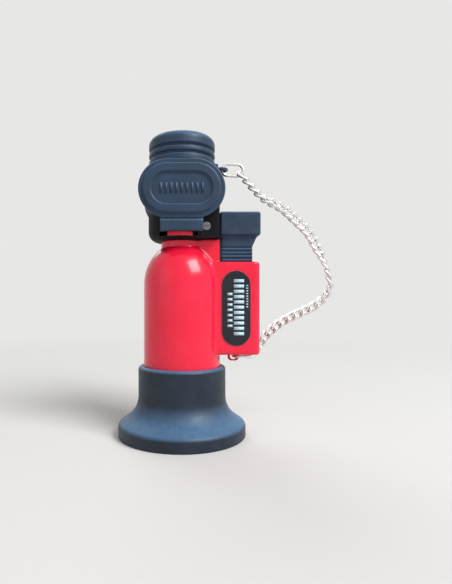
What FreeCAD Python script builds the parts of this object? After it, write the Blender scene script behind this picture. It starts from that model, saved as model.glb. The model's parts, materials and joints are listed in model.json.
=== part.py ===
import FreeCAD, Part
import math
import os

# Pocket butane torch in its removable flared stand. All sizes are in millimetres.
# Frame: the origin is the middle of the stand's underside and +Z runs up the tank's axis.
# +X points to the side box and the trigger, and -Y is the front.

Vector = FreeCAD.Vector
Rotation = FreeCAD.Rotation
Placement = FreeCAD.Placement

# ---- fits ------------------------------------------------------------------------------
SNUG = 0.05  # radial gap of pieces pressed or screwed together
RUN = 0.08  # radial gap of pieces that turn or slide in each other
SLIDE = 0.12  # gap beside a flat sliding face
PLAY = 0.25  # gap between the trigger's pocket and the lever's tip
PAST = 1.0  # how far a cutting tool runs past the face that it cuts
LAP = 0.1  # how far the forms of one solid run into each other
TOUCH = 0.01  # keeps faces that only touch from overlapping
TALL = 5.0  # upright edges of a box are longer than this

# ---- stand -----------------------------------------------------------------------------
foot_r = 25.0
foot_edge = 0.55
foot_shoulder = 2.0  # rounding between the flare and the foot's rim
flare_r = 10.0  # concave arc between the foot and the collar
flare_end_z = 15.5
flare_sweep = 55.0  # degrees of that arc; from there the flare runs straight to the rim
collar_wall = 2.1
stand_h = 27.1
collar_edge = 1.3
socket_floor = 8.0
under_ring_in = 10.0
under_ring_out = 20.0
under_ring_depth = 1.2

# ---- tank and its side box ---------------------------------------------------------------
tank_r = 15.0
tank_wall = 1.8
tank_straight = 50.9  # height of the straight wall, from the tank's bottom
dome_h = 17.0  # half height of the ellipse that rounds the shoulder
neck_r = 8.15
neck_bore_r = 5.5
neck_h = 3.5
bottom_edge = 0.8
box_reach = 14.8  # how far the side box stands out from the tank
box_half_y = 8.0
box_wall = 2.0
box_foot_gap = 4.9  # between the stand's top and the box
box_rise = 8.6  # the box's top above the tank's shoulder
box_edge = 2.2
riser_half_y = 6.0
lug_w = 4.6
lug_drop = 3.6
lug_t = 1.4
lug_y = 3.8
lug_hole_r = 1.3
lug_hole_down = 1.8
lug_x = 5.7  # the chain lug's middle, out from the tank's side
label_w = 10.8
label_h = 28.4
label_t = 0.3
label_x = 5.6  # the label's middle, out from the tank's side

# ---- tank bottom and fill valve ----------------------------------------------------------
plug_t = 4.0
fill_r = 4.0
fill_mouth_r = 2.6
fill_mouth_depth = 3.0
fill_flange_r = 5.2
fill_flange_t = 1.2
fill_guide_t = 1.0
fill_chamber_h = 5.5
fill_end_t = 1.0
fill_inset = 1.0  # the valve's mouth above the tank's bottom
valve_stem_r = 1.2
shoulder_r = 2.2
shoulder_t = 1.0
seal_t = 0.6
chamber_r = 2.5
inlet_r = 0.6
stem_tip_in = 0.8
fill_wire_r = 0.175
fill_spring_r = 1.6
fill_turns = 4

# ---- outlet valve ------------------------------------------------------------------------
outlet_depth = 10.6  # the valve body's length inside the neck
outlet_top_r = 4.0
outlet_top_h = 2.7
outlet_end_t = 1.7
wick_r = 1.6
wick_gap = 3.5  # between the wick's end and the fill valve
stem_collar_r = 2.6
stem_collar_t = 1.0
stem_above_collar = 4.4
stem_lift = 2.2
stem_bore_r = 0.5
outlet_wire_r = 0.2
outlet_spring_r = 1.75
outlet_turns = 5.5

# ---- head housing ------------------------------------------------------------------------
shell_wall = 1.5
head_r = 13.2
head_floor_t = 1.1
head_corner = 4.0
side_half_y = 10.0
side_gap = 0.2  # between the housing and the trigger
side_above_floor = 0.8
side_top_down = 4.0  # the side block's top below the drum's middle
side_edge = 1.0
flat_below = 1.0  # the front and back flats start this far below the covers
flat_start_up = 5.0
riser_gap = 0.1
window_y0 = -1.9  # the window that the lever and the lead pass through
window_y1 = 3.7
window_down = 2.4
window_up = 1.2
drum_w = 31.2
drum_h = 20.9
drum_half_y = 12.8
drum_mid_up = 17.3  # the drum's middle above the tank's neck
neck_ring_r = 12.6
neck_ring_up = 28.3  # the shoulder that the cap sits on, above the tank's neck
spigot_r = 10.6
spigot_h = 3.9
top_bore_r = 8.5
ledge_r = 7.5
ledge_t = 1.5
ledge_down = 3.1  # the ledge's top below the cap's shoulder
slot_x0 = -8.5
slot_x1 = 6.0
slot_up = 0.2
slot_h = 1.6
web_half_x = 7.0
web_t = 2.0
pivot_in = 5.0  # the lever's pivot, in from the housing's side wall
pivot_up = 4.0
pivot_boss_r = 1.7
drum_boss_r = 1.9
drum_screw_x = 11.6
screw_r = 0.8
screw_head_r = 1.5
screw_head_t = 1.0
screw_in_rear = 6.0
screw_end_gap = 0.3
cross_w = 0.45
cross_l = 2.0
cross_deep = 0.5

# ---- covers ------------------------------------------------------------------------------
cover_overhang = 0.45
flange_t = 1.1
oval_t = 1.2
oval_inset = 1.8
panel_w = 22.9
panel_h = 12.1
panel_deep = 0.9
cover_edge = 0.35
peg_r = 1.0
peg_len = 1.2
peg_x = 6.0
tab_w = 15.8
tab_h = 4.1
tab_groove = 0.65
tab_groove_deep = 0.6
tab_proud = 0.1  # the tab's front in front of the flange's
tab_edge = 0.4
bridge_lap = 0.5

# ---- trigger, lever and adjuster ---------------------------------------------------------
stem_out = 0.3  # the stem's inner face, out from the tank's side
block_lap = 0.8  # the block's inner face, in from the stem's
block_w = 15.5
block_half_y = 8.0
block_h = 9.1
block_above_box = 10.0
block_edge = 1.1
stem_w = 11.8
stem_in_box = 7.5
rib_pitch = 1.42
rib_gap = 0.6
rib_deep = 0.5
gusset_drop = 4.0
pocket_floor_up = 2.1
pocket_roof_t = 1.6
pocket_end = 2.2
lever_half_t = 0.8
lever_half_y = 1.5
lever_hub_r = 3.0
fork_half_y = 2.9
fork_tip_x = 0.5
fork_slot_past = 1.2  # the fork's slot, past the valve's collar
fork_play = 0.3
fork_gap = 0.1  # under the valve's collar
tip_gap = 0.8  # between the lever's tip and the pocket's end
pocket_side = 0.4
adjuster_t = 1.4
adjuster_ring_r = 7.0
adjuster_tip_r = 13.0
adjuster_from = -24.0  # the lever strip's edges, in degrees from the front
adjuster_to = 18.0

# ---- piezo unit --------------------------------------------------------------------------
piezo_w = 8.4
piezo_half_y = 4.5
piezo_h = 20.0
piezo_bore_w = 7.2
piezo_bore_half_y = 3.5
piezo_floor = 4.0
plunger_h = 12.0
lead_r = 0.5
lead_y = 2.9
lead_bend = 1.4
lead_start_up = 16.0
lead_in = 0.8  # the lead's middle, out from the stem's inner face
lead_gap = 0.3
lead_under_pivot = 1.3
lead_over_mix = 0.3
lead_end = 2.0
piezo_edge = 0.6
plunger_edge = 0.5
piezo_spring_r = 2.4
piezo_wire_r = 0.35
piezo_turns = 6

# ---- burner ------------------------------------------------------------------------------
jet_gap = 0.6
jet_body_r = 5.0
jet_body_h = 3.4
jet_groove_r = 4.0
jet_spigot_r = 2.95
jet_spigot_h = 2.6
jet_r = 1.4
jet_head_r = 2.0
jet_head_h = 1.0
jet_orifice_r = 0.25
jet_thread = 2.0
jet_stem_gap = 0.2
mix_wall = 1.15
mix_len = 10.6
air_hole_r = 0.9
air_hole_up = 5.0
air_holes = 4
burner_wall = 0.8
burner_lap = 2.0
burner_len = 13.0
holder_t = 1.2
holder_down = 4.5
holder_hole_r = 0.6
holder_ring_r = 2.5
holder_holes = 6
guard_wall = 1.0
guard_base_t = 1.5
guard_h = 8.6
insulator_r = 1.0
electrode_web = 0.25  # metal left between the burner's hole and the insulator's
insulator_h = 17.0
insulator_down = 2.0
electrode_r = 0.4
electrode_above = 1.4
electrode_over = 3.2
electrode_bend = 0.8

# ---- cap and chain -----------------------------------------------------------------------
cap_r = 13.0
cap_h = 11.4
cap_top_t = 2.4
cap_edge = 3.0
cap_groove_w = 1.1
cap_groove_deep = 1.0
cap_groove_up = [2.9, 5.7]
tongue_half_y = 2.4
tongue_t = 1.0
tongue_root_h = 1.3
tongue_root_w = 1.4
tongue_root_in = 0.2
tongue_tip = 5.2
tongue_hole_in = 2.3
tongue_hole_r = 1.3
ring_wire_r = 0.6
ring_len = 8.4
ring_w = 4.6
ring_tilt = 3.0
link_wire_r = 0.45
link_len = 4.55
link_w = 2.9
link_pitch = 3.4
anchor_len = 8.2
anchor_w = 4.4
anchor_wire_r = 0.5
anchor_turn = 24.0  # the ring's direction from the lug, in degrees from +X
anchor_drop = 0.035

# ---- derived places ------------------------------------------------------------------------
socket_r = tank_r + RUN
collar_r = socket_r + collar_wall
shoulder_z = socket_floor + tank_straight
neck_z = shoulder_z + dome_h * math.sqrt(1 - (neck_r / tank_r) ** 2)
neck_top = neck_z + neck_h
box_x1 = tank_r + box_reach
box_z0 = stand_h + box_foot_gap
box_z1 = shoulder_z + box_rise
stem_x0 = tank_r + stem_out
stem_x1 = stem_x0 + stem_w
stem_mid = (stem_x0 + stem_x1) / 2
cavity_x0 = stem_x0 - SLIDE
cavity_x1 = stem_x1 + SLIDE
cavity_z0 = box_z0 + box_wall
block_x0 = stem_x0 - block_lap
block_z0 = box_z1 + block_above_box
head_z0 = neck_top - head_floor_t
riser_top = head_z0 - riser_gap
side_x1 = block_x0 - side_gap
pivot_x = side_x1 - pivot_in
pivot_z = neck_top + pivot_up
drum_z = neck_top + drum_mid_up
cap_z = neck_top + neck_ring_up
ledge_z = cap_z - ledge_down
slot_z = neck_top + slot_up
outlet_z0 = neck_top - outlet_depth
outlet_top = neck_top + outlet_top_h
collar_z = pivot_z + lever_half_t + fork_gap
stem_top = collar_z + stem_collar_t + stem_above_collar
jet_z = collar_z + stem_collar_t + stem_lift + jet_gap
mix_z = jet_z + jet_body_h
web_z = jet_z + (jet_body_h - web_t) / 2
mix_in_r = jet_spigot_r + SNUG
mix_out_r = mix_in_r + mix_wall
burner_in_r = mix_out_r + SNUG
burner_out_r = burner_in_r + burner_wall
burner_z = mix_z + mix_len - burner_lap
burner_top = burner_z + burner_len
electrode_x = burner_out_r + electrode_web + insulator_r + 2 * SNUG
lever_tip_x = block_x0 + block_w - pocket_end - tip_gap
piezo_z0 = cavity_z0
stem_bottom = box_z1 - stem_in_box
plunger_z0 = stem_bottom - plunger_h
fill_z = socket_floor + fill_inset
fill_guide_z = fill_z + fill_mouth_depth
fill_chamber_z = fill_guide_z + fill_guide_t
fill_shoulder_z = fill_chamber_z + seal_t
lead_x = stem_x0 + lead_in

# The chain's route from the cap's ring to the ring under the side box.
chain_route = [
    (23.2, 0.0, 103.0),
    (27.4, 0.3, 97.9),
    (33.1, 1.0, 92.8),
    (39.9, 2.0, 90.2),
    (45.9, 3.0, 85.1),
    (51.6, 4.0, 80.0),
    (55.4, 5.0, 73.4),
    (58.7, 6.0, 67.9),
    (61.3, 7.0, 59.1),
    (59.9, 8.0, 54.6),
    (55.2, 8.6, 50.4),
    (48.9, 9.2, 47.5),
    (42.5, 9.8, 44.5),
    (37.0, 10.6, 39.9),
    (34.4, 11.1, 37.0),
    (32.5, 11.0, 33.8),
    (30.6, 9.9, 31.3),
    (27.4, 7.35, 29.95),
]


# ---- shape helpers -------------------------------------------------------------------------
def cylinder(radius, z0, z1, x=0.0, y=0.0):
    """An upright cylinder."""
    return Part.makeCylinder(radius, z1 - z0, Vector(x, y, z0))


def cylinder_y(radius, y0, y1, x, z):
    """A cylinder that lies along Y."""
    return Part.makeCylinder(radius, y1 - y0, Vector(x, y0, z), Vector(0, 1, 0))


def block(x0, x1, y0, y1, z0, z1):
    """A box between two opposite corners."""
    return Part.makeBox(x1 - x0, y1 - y0, z1 - z0, Vector(x0, y0, z0))


def tube_ring(r_in, r_out, z0, z1, x=0.0, y=0.0):
    """An upright ring with a round bore."""
    return cylinder(r_out, z0, z1, x, y).cut(cylinder(r_in, z0 - PAST, z1 + PAST, x, y))


def stadium(width, height, y0, y1, x_mid, z_mid):
    """A prism along Y with two straight sides and two round ends, left and right."""
    radius = height / 2
    half = width / 2 - radius
    body = block(x_mid - half, x_mid + half, y0, y1, z_mid - radius, z_mid + radius)
    ends = [cylinder_y(radius, y0, y1, x_mid + s * half, z_mid) for s in (-1, 1)]
    return body.fuse(ends).removeSplitter()


def polygon_y(points, y0, y1):
    """A prism along Y over points given as (x, z)."""
    corners = [Vector(x, y0, z) for x, z in points]
    face = Part.Face(Part.makePolygon(corners + corners[:1]))
    return face.extrude(Vector(0, y1 - y0, 0))


def turned(edges):
    """The solid that a closed outline in the XZ plane makes when turned about Z."""
    return Part.Face(Part.Wire(edges)).revolve(Vector(0, 0, 0), Vector(0, 0, 1), 360)


def at(radius, z):
    """A point of an outline that is turned about Z."""
    return Vector(radius, 0, z)


def outline(points):
    """Straight edges from one point to the next."""
    return [Part.LineSegment(a, b).toShape() for a, b in zip(points, points[1:])]


def rounded(shape, radius, wanted):
    """The shape with a fillet on each edge that the test picks."""
    return shape.makeFillet(radius, [e for e in shape.Edges if wanted(e)])


def level(edge, z):
    """Whether an edge lies in the plane at that height."""
    box = edge.BoundBox
    return abs(box.ZMin - z) < 1e-4 and abs(box.ZMax - z) < 1e-4


def pipe(points, radius, bend):
    """A round rod of straight runs joined by tangent arcs."""
    corners = [Vector(*p) for p in points]
    edges = []
    start = corners[0]
    for before, corner, after in zip(corners, corners[1:], corners[2:]):
        back = (before - corner).normalize()
        ahead = (after - corner).normalize()
        half = back.getAngle(ahead) / 2
        trim = bend / math.tan(half)
        middle = (back + ahead).normalize() * (bend / math.sin(half) - bend)
        p0 = corner + back * trim
        p1 = corner + ahead * trim
        edges.append(Part.LineSegment(start, p0).toShape())
        edges.append(Part.Arc(p0, corner + middle, p1).toShape())
        start = p1
    edges.append(Part.LineSegment(start, corners[-1]).toShape())
    ring = Part.Wire([Part.makeCircle(radius, corners[0], corners[1] - corners[0])])
    return Part.Wire(edges).makePipeShell([ring], True, True)


def coil(radius, wire_r, z0, z1, turns, x=0.0, y=0.0):
    """A coil spring between two heights, with its wire inside them."""
    height = z1 - z0 - 2 * (wire_r + TOUCH)
    path = Part.makeHelix(height / turns, height, radius)
    ring = Part.Wire([Part.makeCircle(wire_r, Vector(radius, 0, 0), Vector(0, 1, 0))])
    spring = Part.Wire(path.Edges).makePipeShell([ring], True, True)
    spring.translate(Vector(x, y, z0 + wire_r + TOUCH))
    return spring


def wire_loop(length, width, wire_r):
    """A long wire loop in the XZ plane, its length along X, measured on the wire's middle."""
    radius = width / 2
    half = length / 2 - radius
    pieces = []
    for side in (-1, 1):
        circle = Part.makeCircle(wire_r, Vector(side * half, 0, radius), Vector(1, 0, 0))
        section = Part.Face(Part.Wire([circle]))
        pieces.append(section.revolve(Vector(side * half, 0, 0), Vector(0, side, 0), 180))
        start = Vector(-half, 0, side * radius)
        pieces.append(Part.makeCylinder(wire_r, 2 * half, start, Vector(1, 0, 0)))
    return pieces[0].fuse(pieces[1:]).removeSplitter()


def laid(shape, middle, along, roll):
    """A copy whose X axis points along a direction, turned about it, at a place."""
    upright = Rotation(along, Vector(0, 1, 0), Vector(0, 0, 1), "XYZ")
    turn = upright.multiply(Rotation(Vector(1, 0, 0), roll))
    copy = shape.copy()
    copy.Placement = Placement(middle, turn)
    return copy


# ---- stand -----------------------------------------------------------------------------
def stand_base():
    """The flared foot with the collar and the socket that the tank stands in."""
    sweep = math.radians(flare_sweep)

    def on_flare(angle):
        r = collar_r + flare_r - flare_r * math.cos(angle)
        return at(r, flare_end_z - flare_r * math.sin(angle))

    flare_low = on_flare(sweep)
    rim_z = flare_low.z - (foot_r - flare_low.x) / math.tan(sweep)
    lower = [at(0, 0), at(foot_r, 0), at(foot_r, rim_z), flare_low]
    upper = [
        at(collar_r, flare_end_z),
        at(collar_r, stand_h),
        at(socket_r, stand_h),
        at(socket_r, socket_floor),
        at(0, socket_floor),
        at(0, 0),
    ]
    arc = Part.Arc(flare_low, on_flare(sweep / 2), upper[0]).toShape()
    body = turned(outline(lower) + [arc] + outline(upper))
    body = rounded(body, collar_edge, lambda e: level(e, stand_h) and e.BoundBox.XMax > socket_r + PAST)
    body = rounded(body, foot_shoulder, lambda e: level(e, rim_z))
    body = rounded(body, foot_edge, lambda e: level(e, 0))
    groove = tube_ring(under_ring_in, under_ring_out, -PAST, under_ring_depth)
    return body.cut(groove)


# ---- tank ------------------------------------------------------------------------------
def dome_points(radius, height, r_end):
    """Points on the ellipse that rounds the tank's shoulder, from the wall to the neck."""
    end = math.acos(r_end / radius)
    steps = 10
    angles = [end * n / steps for n in range(steps + 1)]
    return [at(radius * math.cos(a), shoulder_z + height * math.sin(a)) for a in angles]


def dome_curve(radius, height, r_end):
    """A smooth curve over the tank's shoulder."""
    curve = Part.BSplineCurve()
    curve.interpolate(dome_points(radius, height, r_end))
    return curve.toShape()


def tank_shell():
    """The fuel tank with its side box, its riser and the chain's lug, as one moulding."""
    shoulder = dome_curve(tank_r, dome_h, neck_r)
    outer = turned(
        outline([at(0, socket_floor), at(tank_r, socket_floor), at(tank_r, shoulder_z)])
        + [shoulder]
        + outline([at(neck_r, neck_z), at(neck_r, neck_top), at(0, neck_top), at(0, socket_floor)])
    )
    outer = rounded(outer, bottom_edge, lambda e: level(e, socket_floor))
    box = block(tank_r / 2, box_x1, -box_half_y, box_half_y, box_z0, box_z1)
    box = rounded(box, box_edge, lambda e: e.BoundBox.XMin > box_x1 - TOUCH and e.BoundBox.ZLength > TALL)
    box = rounded(box, box_edge / 2, lambda e: level(e, box_z0) and e.BoundBox.XMax > tank_r)
    box = rounded(box, box_edge / 4, lambda e: level(e, box_z1) and e.BoundBox.XMax > tank_r)
    riser = block(neck_r - 2, block_x0, -riser_half_y, riser_half_y, shoulder_z, riser_top)
    lug_mid = tank_r + lug_x
    lug_y0 = lug_y - lug_t / 2
    lug_y1 = lug_y + lug_t / 2
    lug_z0 = box_z0 - lug_drop
    lug = block(lug_mid - lug_w / 2, lug_mid + lug_w / 2, lug_y0, lug_y1, lug_z0, box_z0 + box_wall / 2)
    lug = rounded(lug, lug_w / 3, lambda e: e.BoundBox.YLength > 1 and level(e, lug_z0))
    body = outer.fuse([box, riser, lug]).removeSplitter()
    inner_r = tank_r - tank_wall
    inner_h = dome_h - tank_wall
    dome_end = dome_points(inner_r, inner_h, neck_bore_r)[-1]
    above = neck_top + PAST
    bore = turned(
        outline([at(0, socket_floor - PAST), at(inner_r, socket_floor - PAST), at(inner_r, shoulder_z)])
        + [dome_curve(inner_r, inner_h, neck_bore_r)]
        + outline([dome_end, at(neck_bore_r, above), at(0, above), at(0, socket_floor - PAST)])
    )
    cavity_y = riser_half_y + SLIDE
    cavity = block(cavity_x0, cavity_x1, -cavity_y, cavity_y, cavity_z0, box_z1 + PAST)
    hole = cylinder_y(lug_hole_r, lug_y0 - PAST, lug_y1 + PAST, lug_mid, box_z0 - lug_hole_down)
    return body.cut([bore, cavity, hole])


def label_plate():
    """The oval label on the front of the side box."""
    z_mid = (box_z0 + box_z1) / 2
    x_mid = tank_r + label_x
    upright = stadium(label_h, label_w, -box_half_y - label_t, -box_half_y, 0, 0)
    upright.rotate(Vector(0, 0, 0), Vector(0, 1, 0), 90)
    upright.translate(Vector(x_mid, 0, z_mid))
    return upright


def tank_bottom_plug():
    """The disc that closes the tank's bottom and holds the fill valve."""
    plug_r = tank_r - tank_wall - SNUG
    return tube_ring(fill_r + SNUG, plug_r, socket_floor, socket_floor + plug_t)


# ---- fill valve ------------------------------------------------------------------------
def fill_valve_body():
    """The brass body with its open mouth, stem guide and spring chamber."""
    flange_z = socket_floor + plug_t
    end_z = fill_chamber_z + fill_chamber_h
    body = cylinder(fill_r, fill_z, end_z + fill_end_t)
    body = body.fuse(cylinder(fill_flange_r, flange_z, flange_z + fill_flange_t))
    bores = [
        cylinder(fill_mouth_r, fill_z - PAST, fill_guide_z),
        cylinder(valve_stem_r + RUN, fill_guide_z - PAST, fill_chamber_z + PAST),
        cylinder(chamber_r, fill_chamber_z, end_z),
        cylinder(inlet_r, end_z - PAST, end_z + fill_end_t + PAST),
    ]
    return body.cut(bores)


def fill_valve_stem():
    """The hollow-tipped stem that a refill nozzle pushes in."""
    shaft = cylinder(valve_stem_r, fill_z + stem_tip_in, fill_shoulder_z + shoulder_t)
    return shaft.fuse(cylinder(shoulder_r, fill_shoulder_z, fill_shoulder_z + shoulder_t))


def fill_valve_seal():
    """The rubber washer under the stem's shoulder."""
    return tube_ring(valve_stem_r + RUN, shoulder_r, fill_chamber_z, fill_shoulder_z)


def fill_valve_spring():
    """The spring that closes the fill valve."""
    z0 = fill_shoulder_z + shoulder_t
    return coil(fill_spring_r, fill_wire_r, z0, fill_chamber_z + fill_chamber_h, fill_turns)


# ---- outlet valve ----------------------------------------------------------------------
def outlet_valve_body():
    """The brass body in the tank's neck."""
    seat = outlet_z0 + outlet_end_t
    body = cylinder(neck_bore_r - SNUG, outlet_z0, neck_top)
    body = body.fuse(cylinder(outlet_top_r, neck_top - PAST, outlet_top))
    bores = [
        cylinder(wick_r + SNUG, outlet_z0 - PAST, outlet_z0 + outlet_end_t / 2),
        cylinder(inlet_r, outlet_z0, seat + PAST),
        cylinder(chamber_r, seat, outlet_top - outlet_end_t),
        cylinder(valve_stem_r + RUN, seat, outlet_top + PAST),
    ]
    return body.cut(bores)


def outlet_valve_seal():
    """The rubber seat under the outlet stem."""
    seat = outlet_z0 + outlet_end_t
    return tube_ring(inlet_r, shoulder_r, seat, seat + seal_t)


def outlet_valve_stem():
    """The stem with its lower shoulder and the collar that the lever's fork lifts."""
    z0 = outlet_z0 + outlet_end_t + seal_t
    shaft = cylinder(valve_stem_r, z0, stem_top)
    shoulder = cylinder(shoulder_r, z0, z0 + shoulder_t)
    collar = cylinder(stem_collar_r, collar_z, collar_z + stem_collar_t)
    return shaft.fuse([shoulder, collar]).cut(cylinder(stem_bore_r, z0 + 2 * shoulder_t, stem_top + PAST))


def outlet_valve_spring():
    """The spring that closes the outlet valve."""
    z0 = outlet_z0 + outlet_end_t + seal_t + shoulder_t
    return coil(outlet_spring_r, outlet_wire_r, z0, outlet_top - outlet_end_t, outlet_turns)


def outlet_wick():
    """The feed wick that hangs from the outlet valve into the tank."""
    z0 = fill_chamber_z + fill_chamber_h + fill_end_t + wick_gap
    return cylinder(wick_r, z0, outlet_z0 + outlet_end_t / 2)


# ---- piezo unit ------------------------------------------------------------------------
def piezo_case():
    """The case of the igniter, standing in the side box."""
    y = piezo_half_y
    case = block(stem_mid - piezo_w / 2, stem_mid + piezo_w / 2, -y, y, piezo_z0, piezo_z0 + piezo_h)
    case = rounded(case, piezo_edge, lambda e: e.BoundBox.ZLength > TALL)
    half = piezo_bore_w / 2
    y = piezo_bore_half_y
    bore = block(
        stem_mid - half, stem_mid + half, -y, y, piezo_z0 + piezo_floor, piezo_z0 + piezo_h + PAST
    )
    return case.cut(bore)


def piezo_plunger():
    """The plunger between the trigger's stem and the igniter's spring."""
    half = piezo_bore_w / 2 - SLIDE
    y = piezo_bore_half_y - SLIDE
    body = block(stem_mid - half, stem_mid + half, -y, y, plunger_z0, stem_bottom)
    return rounded(body, plunger_edge, lambda e: e.BoundBox.ZLength > TALL)


def piezo_spring():
    """The hammer spring under the plunger."""
    return coil(piezo_spring_r, piezo_wire_r, piezo_z0 + piezo_floor, plunger_z0, piezo_turns, stem_mid)


def piezo_lead():
    """The insulated lead from the igniter up to the electrode."""
    up = pivot_z - lead_under_pivot
    over = mix_z + lead_over_mix
    inner_x = side_x1 - shell_wall - lead_r - SLIDE
    points = [
        (lead_x, lead_y, piezo_z0 + lead_start_up),
        (lead_x, lead_y, up),
        (inner_x, lead_y, up),
        (inner_x, lead_y, over),
        (electrode_x, 0, over),
        (electrode_x, 0, over + lead_end),
    ]
    return pipe(points, lead_r, lead_bend)


# ---- head housing ----------------------------------------------------------------------
def head_outside():
    """The housing's outer form, solid, with its drum, neck ring and spigot."""
    round_part = cylinder(head_r, head_z0, drum_z)
    round_part = rounded(round_part, head_corner, lambda e: level(e, head_z0))
    flat = block(-head_r, head_r, -head_r - PAST, -drum_half_y, cover_bottom() - flat_below, drum_z)
    flat_back = flat.mirror(Vector(), Vector(0, 1, 0))
    side = block(0, side_x1, -side_half_y, side_half_y, head_z0 + side_above_floor, drum_z - side_top_down)
    side = rounded(side, side_edge, lambda e: e.BoundBox.XMin > side_x1 - TOUCH)
    drum = stadium(drum_w, drum_h, -drum_half_y, drum_half_y, 0, drum_z)
    neck = cylinder(neck_ring_r, drum_z, cap_z)
    spigot = cylinder(spigot_r, drum_z, cap_z + spigot_h)
    return round_part.cut([flat, flat_back]).fuse([side, drum, neck, spigot])


def cover_bottom():
    """The height of the lower edge of the oval covers."""
    return drum_z - drum_h / 2 - cover_overhang


def head_inside():
    """The hollow of the housing, without the walls round its upper bore."""
    w = shell_wall
    round_part = cylinder(head_r - w, neck_top, drum_z)
    round_part = rounded(round_part, head_corner - w, lambda e: level(e, neck_top))
    clear = drum_half_y - w
    flat = block(-head_r, head_r, -head_r - PAST, -clear, neck_top + flat_start_up, drum_z)
    flat_back = flat.mirror(Vector(), Vector(0, 1, 0))
    side_y = side_half_y - w
    side = block(0, side_x1 - w, -side_y, side_y, head_z0 + side_above_floor + w, drum_z - side_top_down)
    drum = stadium(drum_w - 2 * w, drum_h - 2 * w, -clear, clear, 0, drum_z)
    hollow = round_part.cut([flat, flat_back]).fuse([side, drum])
    return hollow.cut(cylinder(neck_ring_r, ledge_z - ledge_t, cap_z + PAST))


def head_shells():
    """The two halves of the housing, front and rear, that meet on the torch's middle plane."""
    outside = head_outside()
    body = outside.cut(head_inside())
    web = block(-web_half_x, web_half_x, -drum_half_y, drum_half_y, web_z, web_z + web_t)
    inner_y = side_half_y - shell_wall / 2
    bosses = [cylinder_y(pivot_boss_r, -inner_y, inner_y, pivot_x, pivot_z)]
    reach = drum_half_y - shell_wall / 2
    for x in (-drum_screw_x, drum_screw_x):
        bosses.append(cylinder_y(drum_boss_r, -reach, reach, x, drum_z))
    body = body.fuse([web.common(outside)] + bosses)
    cuts = [
        cylinder(neck_r + SNUG, head_z0 - PAST, neck_top + TOUCH),
        cylinder(ledge_r, ledge_z - ledge_t - PAST, ledge_z + PAST),
        cylinder(top_bore_r, ledge_z, cap_z + spigot_h + PAST),
        cylinder(jet_groove_r + SNUG, web_z - PAST, web_z + web_t + PAST),
        block(slot_x0, slot_x1, -head_r - PAST, -head_r / 2, slot_z, slot_z + slot_h),
        block(
            side_x1 - 2 * shell_wall, side_x1 + PAST,
            window_y0, window_y1, pivot_z - window_down, pivot_z + window_up,
        ),
    ]
    for x, z, front_y in screw_places():
        cuts.append(cylinder_y(screw_head_r + SNUG, front_y - PAST, front_y + screw_head_t, x, z))
        cuts.append(cylinder_y(screw_r + SNUG, front_y, screw_in_rear + screw_end_gap, x, z))
    deep = drum_half_y - peg_len - SLIDE
    for x in (-peg_x, peg_x):
        cuts.append(cylinder_y(peg_r + SNUG, -drum_half_y - PAST, -deep, x, drum_z))
        cuts.append(cylinder_y(peg_r + SNUG, deep, drum_half_y + PAST, x, drum_z))
    body = body.cut(cuts)
    far = 2 * head_r
    front = body.common(block(-far, far, -far, 0, head_z0 - PAST, cap_z + far))
    rear = body.common(block(-far, far, 0, far, head_z0 - PAST, cap_z + far))
    return front, rear


def screw_places():
    """Each screw's x and z, and the y of the face that its head lies flush with."""
    return [
        (pivot_x, pivot_z, -side_half_y),
        (-drum_screw_x, drum_z, -drum_half_y),
        (drum_screw_x, drum_z, -drum_half_y),
    ]


def head_screws():
    """The cross-head screws that hold the housing's halves together."""
    screws = []
    for x, z, front_y in screw_places():
        head = cylinder_y(screw_head_r, front_y, front_y + screw_head_t, x, z)
        screw = head.fuse(cylinder_y(screw_r, front_y, screw_in_rear, x, z))
        half_l = cross_l / 2
        half_w = cross_w / 2
        deep = (front_y - PAST, front_y + cross_deep)
        bars = [
            block(x - half_l, x + half_l, *deep, z - half_w, z + half_w),
            block(x - half_w, x + half_w, *deep, z - half_l, z + half_l),
        ]
        screws.append(screw.cut(bars))
    return Part.makeCompound(screws)


def oval_cover():
    """The cover in front of the drum: flange, raised oval, sunk panel and two pegs."""
    back = -drum_half_y
    mid = back - flange_t
    front = mid - oval_t
    flange_w = drum_w + 2 * cover_overhang
    flange_h = drum_h + 2 * cover_overhang
    flange = stadium(flange_w, flange_h, mid, back, 0, drum_z)
    flange = rounded(flange, cover_edge, lambda e: e.BoundBox.YMax < mid + TOUCH)
    oval = stadium(flange_w - 2 * oval_inset, flange_h - 2 * oval_inset, front, mid + LAP, 0, drum_z)
    oval = rounded(oval, cover_edge, lambda e: e.BoundBox.YMax < front + TOUCH)
    panel = stadium(panel_w, panel_h, front - PAST, front + panel_deep, 0, drum_z)
    pegs = [cylinder_y(peg_r, back - LAP, back + peg_len, x, drum_z) for x in (-peg_x, peg_x)]
    return flange.fuse([oval] + pegs).cut(panel)


def front_oval_cover():
    """The front cover with the tab that hangs under its oval."""
    front = -drum_half_y - flange_t - tab_proud
    half = tab_w / 2
    top = cover_bottom() - tab_groove
    tab = block(-half, half, front, -head_r / 2, top - tab_h, top)
    tab = rounded(tab, tab_edge, lambda e: e.BoundBox.YMax < front + TOUCH)
    bridge = block(
        -half, half, front + tab_groove_deep, -head_r / 2, top - bridge_lap, cover_bottom() + bridge_lap
    )
    housing = cylinder(head_r + SNUG, head_z0, drum_z).cut(
        block(-head_r, head_r, -head_r - PAST, -drum_half_y - SNUG, cover_bottom() - flat_below, drum_z)
    )
    drum = stadium(drum_w, drum_h, -drum_half_y - SNUG, 0, 0, drum_z)
    side = block(0, side_x1, -side_half_y - SNUG, 0, head_z0, drum_z)
    return oval_cover().fuse(tab.fuse(bridge).cut([housing, drum, side]))


def rear_oval_cover():
    """The plain cover on the back of the drum."""
    return oval_cover().mirror(Vector(), Vector(0, 1, 0))


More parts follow.
